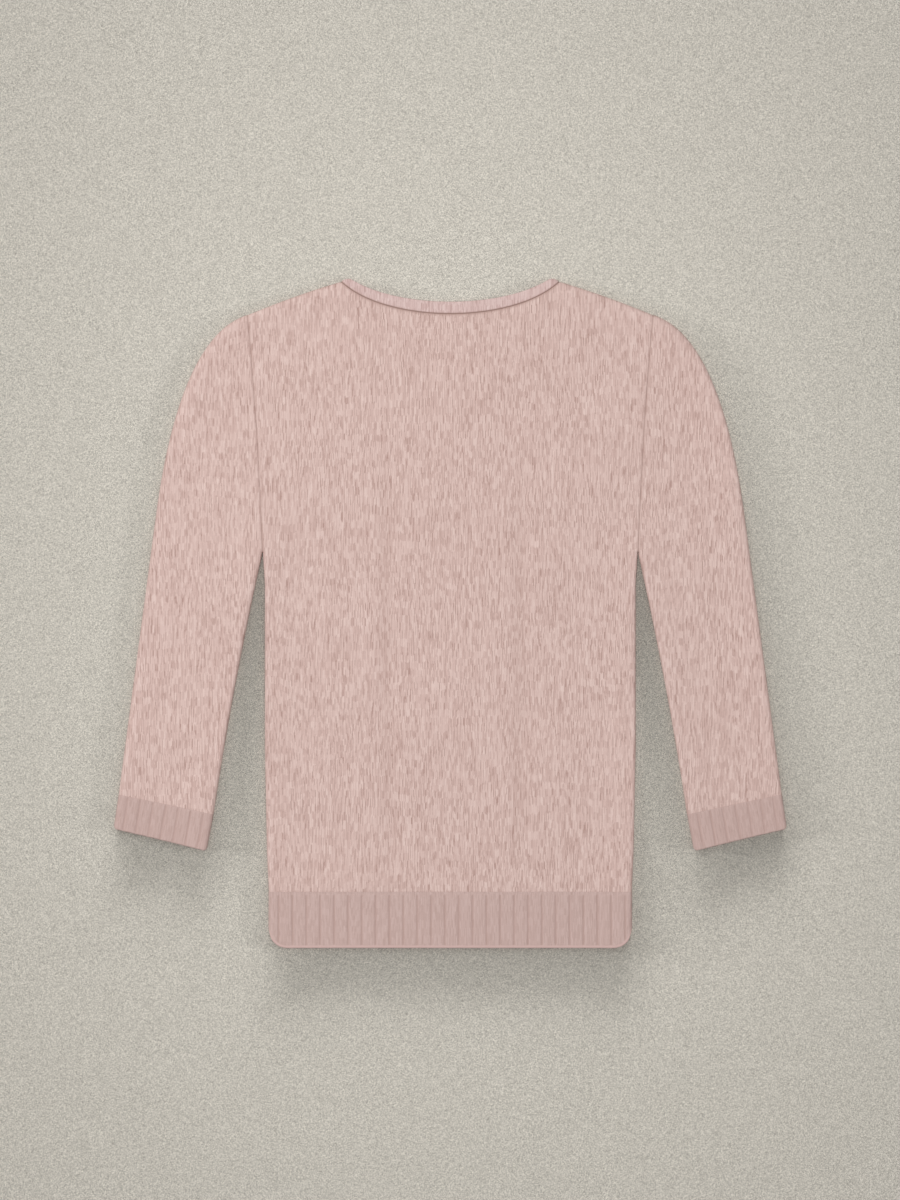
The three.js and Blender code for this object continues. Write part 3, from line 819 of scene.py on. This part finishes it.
# ---------------------------------------------------------------------------------------------
# Hem rib: a tube in a thicker wide rib, a tone darker than the body, linked to the panels' lower
# edges. Wide flat ribs stand between narrow sunk grooves, whose colour is darkened as painted shade,
# and a plain turned edge closes it below.
# ---------------------------------------------------------------------------------------------
RIB_WALL = 2.8
RIB_SLIVER = 0.03
RIB_ROOM = 0.4
HEM_HEIGHT = 58.8
HEM_CORNER = 20.0
HEM_GROOVES = np.linspace(-180, 183, 26)
GROOVE_HALF = 1.7
GROOVE_DEPTH = 0.5
RIB_CROWN = 0.4
RUN_OUT = (-0.8, 1.2)  # where a groove starts and ends its run-out, from its nominal end
RIB_AROUND = np.array([0.6, 1.15, 1.7, 2.3, 3.2, 5.2])  # grid lines on each side of a groove
RIB_CLEAR = 0.3
RIB_STEP = 4.0  # spacing of a rib's grid down its grooves
HEM_EDGE = 3.0  # height of the plain turned edge
HEM_EDGE_SOFT = 0.5
HEM_PLAIN_TOP = 3.2  # the grooves start this far below the seam
# Painted shade in the hem's grooves: how much of the dark groove tone they take.
HEM_GROOVE_PAINTED_SHADE = 0.8
HEM_CALM = 0.4  # how much of the cloth's slow waves is left at the hem's edge
HEM_BACK_SHIFT = 5.0  # the back's grooves lie this far from the front's
SEAM_GAP = 0.04
RIB_ENDS = EDGE_STEPS[:9]
EDGE_FINE = np.array([0, 0.06, 0.22, 0.5, 0.9, 1.4, 2.1, 2.8, 3.4, 4.0, 5.0, 6.5])
RIB_YARNS = ((184, 156, 148), (199, 172, 165), (212, 187, 181))
# Dark tone blended into the rib grooves as painted shade, and a little over the whole cuff as its darker
# tone.
GROOVE_SHADE_AND_CUFF_TONE = (182, 154, 146)
EDGE_TONE = (208, 178, 172)
RIB_SHADES = {"edge": EDGE_TONE, "shade": GROOVE_SHADE_AND_CUFF_TONE}
rib_knit = knit_material(
    "rib_knit", RIB_YARNS, contrast=0.7, shades=RIB_SHADES, bump=0.4, number=3
)


def rounded_end(edge):
    """How much each side of a rib's wall draws in near a free edge, which is a half round: its radius
    r * (1 - sqrt(1 - t^2)), where t falls from 1 at the edge to 0 at r. A sliver is left at the edge."""
    radius = RIB_WALL / 2
    t = 1 - np.clip(edge / radius, 0, 1)
    return np.minimum(radius * (1 - np.sqrt(1 - t * t)), radius - RIB_SLIVER)


def cut_corner(from_fold, radius):
    """How far a rounded corner draws a free edge in: r - sqrt(r^2 - (r - the way from the fold)^2)."""
    return radius - np.sqrt(radius**2 - np.clip(radius - from_fold, 0, None) ** 2)


def ribbing(across, grooves, from_edge, from_seam, plain_edge, plain_top):
    """How deep the rib's grooves are at places, and how high the ribs crown between them.

    A groove is a squared cosine across, and a crown is 1 - t^2, with t from 0 in its middle to 1 in
    the groove. Both fade out at the plain edge and just before the seam.
    """
    nearest = np.abs(across[..., None] - grooves).min(axis=-1)
    pitch = grooves[1] - grooves[0]
    fade = smooth(from_edge, plain_edge + RUN_OUT[0], plain_edge + RUN_OUT[1])
    fade = fade * smooth(from_seam, plain_top + RUN_OUT[0], plain_top + RUN_OUT[1])
    groove = np.cos(np.pi / 2 * np.clip(nearest / GROOVE_HALF, 0, 1)) ** 2 * fade
    crown = RIB_CROWN * (1 - np.clip(1 - nearest / (pitch / 2), 0, 1) ** 2) * fade
    return groove, crown


def rib_columns(grooves, low, high):
    """Places across a rib: close together at each fold, over each groove, and wider on the ribs."""
    middle = (grooves[:, None] + np.concatenate([-RIB_AROUND, [0], RIB_AROUND])).ravel()
    ends = np.concatenate([low + RIB_ENDS, high - RIB_ENDS])
    clear = middle[(middle > low + RIB_ENDS[-1] + RIB_CLEAR) & (middle < high - RIB_ENDS[-1] - RIB_CLEAR)]
    return np.unique(np.concatenate([ends, clear]))


hem_half = SIDE_HALF[0]
hem_x = rib_columns(HEM_GROOVES, -hem_half, hem_half)
hem_bottom = cut_corner(hem_half - np.abs(hem_x), HEM_CORNER)
hem_rows = spread(0, 1, RIB_STEP / HEM_HEIGHT, EDGE_FINE / HEM_HEIGHT, RIB_ENDS / HEM_HEIGHT)
x = np.broadcast_to(hem_x, (len(hem_rows), len(hem_x)))
y = hem_bottom + (HEM_SEAM - SEAM_GAP - hem_bottom) * hem_rows[:, None]
# Where a corner slopes, up to a slope of 3, the way to the edge is shorter than the way down.
into = np.clip(np.abs(hem_x) - (hem_half - HEM_CORNER), 0, None)
slope = np.minimum(into / np.sqrt(HEM_CORNER**2 - into**2 + 1), 3)
from_edge = (y - hem_bottom) / np.hypot(1, slope)
layers, layer_marks = [], []
for upper in (True, False):
    across = x + (0 if upper else HEM_BACK_SHIFT)
    groove, crown = ribbing(across, HEM_GROOVES, from_edge, HEM_SEAM - y, HEM_EDGE, HEM_PLAIN_TOP)
    roll = np.maximum(GROOVE_DEPTH * groove, rolled(HEM_SEAM - y, RIB_DEPTH))
    slack = waves(x, y) * (HEM_CALM + (1 - HEM_CALM) * smooth(y, 0, HEM_SEAM))
    relief = crown + held_up(slack, RIB_ROOM) if upper else pressed(slack)
    layers.append(layer(
        x, y, BODY_FOLDS, upper, RIB_WALL, relief, roll, rounded_end(from_edge),
        folded=np.abs(x) == hem_half,
    ))
    plain = 1 - smooth(from_edge, HEM_EDGE - HEM_EDGE_SOFT, HEM_EDGE + HEM_EDGE_SOFT)
    layer_marks.append({"shade": HEM_GROOVE_PAINTED_SHADE * groove, "edge": plain})
hem = tube("hem_ribbing", *layers, rib_knit, *layer_marks)
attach(hem, "root")
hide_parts("hem_rib")

# ---------------------------------------------------------------------------------------------
# Sleeves: tubes in the body's knit, set into the armholes. Each bends over the upper arm and runs
# straight down beside the body. Its rows fan from the armhole seam round to the cuff.
# ---------------------------------------------------------------------------------------------
SLEEVE_LENGTH = 560.0  # along the outer fold
UNDERARM_START = 1.7  # the underarm is shorter than the outer fold, so its steps start smaller
ARM_STEP = 3.3
ARMHOLE_EASE = 0.05  # the share of the sleeve in which its rows ease out of the armhole's curve
CUFF_WAY = 300.0  # the way from the armhole to the cuff, a little more than the underarm's
SLEEVE_BLOUSE = 0.4
SLEEVE_CREASES = [  # as the front's, on the wearer's left sleeve
    ((262, 360), (292, 330), 13, 0.35, 4),
    ((240, 300), (268, 262), 12, 0.3, 3),
    ((300, 250), (284, 215), 12, 0.22, -3),
    ((222, 420), (252, 452), 12, 0.35, -4),
    ((276, 170), (280, 205), 7, 0.2, 1),
    ((305, 172), (303, 214), 8, 0.24, -1),
    ((262, 160), (266, 186), 6, 0.18, 0),
    ((236, 600), (262, 560), 14, 0.2, 4),
]


def arm_plan(side):
    """Plan of a sleeve: each row goes straight from its outer fold to its underarm fold.

    The first row follows the armhole's curve instead, and the rows after it ease out of that curve.
    """
    first, last = EDGE_STEPS / SLEEVE_LENGTH, EDGE_STEPS[:10] / SLEEVE_LENGTH
    shares = spread(0, 1, ARM_STEP / SLEEVE_LENGTH, first, last)
    outer = along(SLEEVE_OUTER, shares)
    inner = along(SLEEVE_INNER, shares**UNDERARM_START)
    wide = np.linalg.norm(outer - inner, axis=1).mean()
    across = spread(0, 1, ARM_STEP / wide, EDGE_STEPS / wide, EDGE_STEPS / wide)
    rows = outer[:, None] + (inner - outer)[:, None] * across[None, :, None]
    x, y = rows[..., 0], rows[..., 1]
    chord = ARMPIT[0] + (SHOULDER_TIP[0] - ARMPIT[0]) * (y - ARMPIT[1]) / (SHOULDER_TIP[1] - ARMPIT[1])
    ease = 1 - smooth(shares, 0, ARMHOLE_EASE)
    x = x + (half_width(y) - chord + SEAM_GAP) * ease[:, None]
    return side * x, y, shares, across


def facing_out(x, y, *marks):
    """A plan turned so that its rows run up the garment and its columns from left to right."""
    flip = x[0, 0] > x[0, -1]
    turn = (slice(None, None, -1), slice(None, None, -1) if flip else slice(None))
    return [grid[turn] for grid in (x, y, *marks)]


# The wearer's right sleeve has shallower creases, which lie a little higher.
for side, label, deep, higher in ((1, "left", 1.0, 0.0), (-1, "right", 0.8, 6.0)):
    x, y, shares, across = arm_plan(side)
    from_cuff = np.broadcast_to(((1 - shares) * CUFF_WAY)[:, None], x.shape)
    folded = np.broadcast_to((across == 0) | (across == 1), x.shape)
    x, y, from_cuff, folded = facing_out(x, y, from_cuff, folded)
    from_armhole = np.abs(x) - half_width(y)
    relief = waves(x, y) + blouse(from_cuff, x, SLEEVE_BLOUSE)
    for start, end, half, depth, bow in SLEEVE_CREASES:
        relief = relief - crease(side * x, y - higher, start, end, half, depth * deep, bow)
    roll = np.maximum(rolled(from_armhole, ARMHOLE_DEPTH), rolled(from_cuff, RIB_DEPTH))
    # The armhole seam's darkening on the sleeve, partly painted shade.
    shade = shaded(from_armhole, ARMHOLE_SHADE * (y > ARMPIT[1]), ARMHOLE_REACH)
    layers, layer_marks = [], []
    for upper in (True, False):
        lift = held_up(relief, KNIT_ROOM) if upper else pressed(relief)
        layers.append(layer(x, y, ARM_FOLDS, upper, KNIT_WALL, lift, roll, folded=folded))
        layer_marks.append({"shade": shade})
    sleeve = tube(f"sleeve_knit_{label}", *layers, body_knit, *layer_marks)
    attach(sleeve, "root")
    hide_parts(f"sleeve_{label}")

# ---------------------------------------------------------------------------------------------
# Cuffs: short tubes in the same wide rib as the hem, linked to the sleeves' ends. Their grooves run
# down the arm, parallel to its sides.
# ---------------------------------------------------------------------------------------------
CUFF_GROOVES = np.linspace(-40.2, 40.2, 7)
CUFF_WIDTH = 101.0
CUFF_HEIGHT = 37.5
CUFF_CORNER = 3.0
CUFF_EDGE = 0.6
CUFF_PLAIN_TOP = 1.0
CUFF_BACK_SHIFT = 4.0
# A darker tone over the whole cuff, and on top of it painted shade in the grooves.
CUFF_TONE_AND_PAINTED_SHADE = (0.14, 0.5)  # on the ribs, and how much more in the grooves
CUFF_KNIT = (600.0, 1500.0)  # how far over the knit coordinates of the two layers lie

for side, label in ((1, "left"), (-1, "right")):
    across = rib_columns(CUFF_GROOVES, -CUFF_WIDTH / 2, CUFF_WIDTH / 2) / CUFF_WIDTH + 0.5
    down = spread(0, 1, RIB_STEP / CUFF_HEIGHT, RIB_ENDS / CUFF_HEIGHT, EDGE_FINE / CUFF_HEIGHT)
    corner = cut_corner(np.minimum(across, 1 - across) * CUFF_WIDTH, CUFF_CORNER)
    held = (down[:, None] * (1 - corner / CUFF_HEIGHT))[..., None]
    outer_side = np.array(CUFF_OUTER_TOP) + held * np.subtract(CUFF_OUTER_END, CUFF_OUTER_TOP)
    inner_side = np.array(CUFF_INNER_TOP) + held * np.subtract(CUFF_INNER_END, CUFF_INNER_TOP)
    rows = outer_side + (inner_side - outer_side) * across[:, None]
    x, y = side * rows[..., 0], rows[..., 1]
    place = np.broadcast_to((across - 0.5) * CUFF_WIDTH, x.shape)
    from_seam = held[..., 0] * CUFF_HEIGHT
    from_edge = (1 - down[:, None]) * (CUFF_HEIGHT - corner)
    folded = np.broadcast_to((across == 0) | (across == 1), x.shape)
    x, y, place, from_seam, from_edge, folded = facing_out(x, y, place, from_seam, from_edge, folded)
    layers, layer_marks = [], []
    for upper in (True, False):
        over = place + (0 if upper else CUFF_BACK_SHIFT)
        groove, crown = ribbing(over, CUFF_GROOVES, from_edge, from_seam, CUFF_EDGE, CUFF_PLAIN_TOP)
        roll = np.maximum(GROOVE_DEPTH * groove, rolled(from_seam, RIB_DEPTH))
        slack = waves(x, y)
        relief = crown + held_up(slack, RIB_ROOM) if upper else pressed(slack)
        outer, inner, _ = layer(
            x, y, ARM_FOLDS, upper, RIB_WALL, relief, roll, rounded_end(from_edge), folded=folded
        )
        knit = np.stack([place + CUFF_KNIT[0 if upper else 1], -from_seam], axis=-1)
        layers.append((outer, inner, knit))
        layer_marks.append({"shade": CUFF_TONE_AND_PAINTED_SHADE[0] + CUFF_TONE_AND_PAINTED_SHADE[1] * groove})
    cuff = tube(f"cuff_ribbing_{label}", *layers, rib_knit, *layer_marks)
    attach(cuff, "root")
    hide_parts(f"cuff_{label}")

# ---------------------------------------------------------------------------------------------
# Neckband: a narrow tube of double knit, linked to the neck opening with a darker yarn; the dark line
# along the link is partly painted shade. Its free edge rolls over, and its two top corners are rounded
# where it folds at the shoulders.
# ---------------------------------------------------------------------------------------------
BAND_EDGE = {"low": 677.9, "half": BAND_TIP[0], "top": BAND_TIP[1], "round": 124.0}
BAND_LENGTH = 232.0
BAND_TALL = 13.0
BAND_CORNER = 4.0
BAND_STEP = 2.4  # spacing of its grid along it, and then up it
BAND_ROW = 1.6
TIP_GAP = 0.06
LINK_REACH = 1.0
BAND_YARNS = ((189, 157, 151), (213, 185, 180), (231, 210, 205))
# The link's darker yarn, whose line is partly painted shade.
LINK_YARN_AND_SHADE_TONE = (165, 135, 125)
band_knit = knit_material(
    "neckband_knit", BAND_YARNS, contrast=0.9, shades={"shade": LINK_YARN_AND_SHADE_TONE}, bump=0.5, number=7
)

share = spread(0, 1, BAND_STEP / BAND_LENGTH, EDGE_STEPS / BAND_LENGTH, EDGE_STEPS / BAND_LENGTH)
corner = cut_corner(np.minimum(share, 1 - share) * BAND_LENGTH, BAND_CORNER)
band_up = spread(0, 1, BAND_ROW / BAND_TALL, EDGE_STEPS[:7] / BAND_TALL, EDGE_FINE[:8] / BAND_TALL)
folded = np.broadcast_to((share == 0) | (share == 1), (len(band_up), len(share)))
tip_edge = np.subtract(BAND_TIP, NECK_POINT)
tip_gap = TIP_GAP * tip_edge / np.linalg.norm(tip_edge)
layers, layer_marks = [], []
for upper, seam, edge in (
    (True, NECK_SEAM, BAND_EDGE), (False, behind(NECK_SEAM), behind(BAND_EDGE)),
):
    across = 2 * share - 1
    seam_x, seam_y = across * (seam["half"] + tip_gap[0]), neck_height(seam, across * seam["half"])
    edge_x, edge_y = across * edge["half"], neck_height(edge, across * edge["half"])
    tall = np.hypot(edge_x - seam_x, edge_y - seam_y)
    kept = 1 - corner / tall
    x = seam_x + (edge_x - seam_x) * kept * band_up[:, None]
    y = seam_y + tip_gap[1] + (edge_y - seam_y - tip_gap[1]) * kept * band_up[:, None]
    from_seam = band_up[:, None] * tall * kept
    from_edge = (1 - band_up[:, None]) * tall * kept
    roll = rolled(from_seam, NECK_DEPTH)
    slack = waves(x, y)
    relief = held_up(slack, RIB_ROOM) if upper else pressed(slack)
    layers.append(layer(
        x, y, BODY_FOLDS, upper, RIB_WALL, relief, roll, rounded_end(from_edge), folded=folded
    ))
    # The link's darker line, partly painted shade.
    layer_marks.append({"shade": shaded(from_seam, 1.0, LINK_REACH)})
band = tube("neckband_knit", *layers, band_knit, *layer_marks)
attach(band, "root")
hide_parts("neckband")
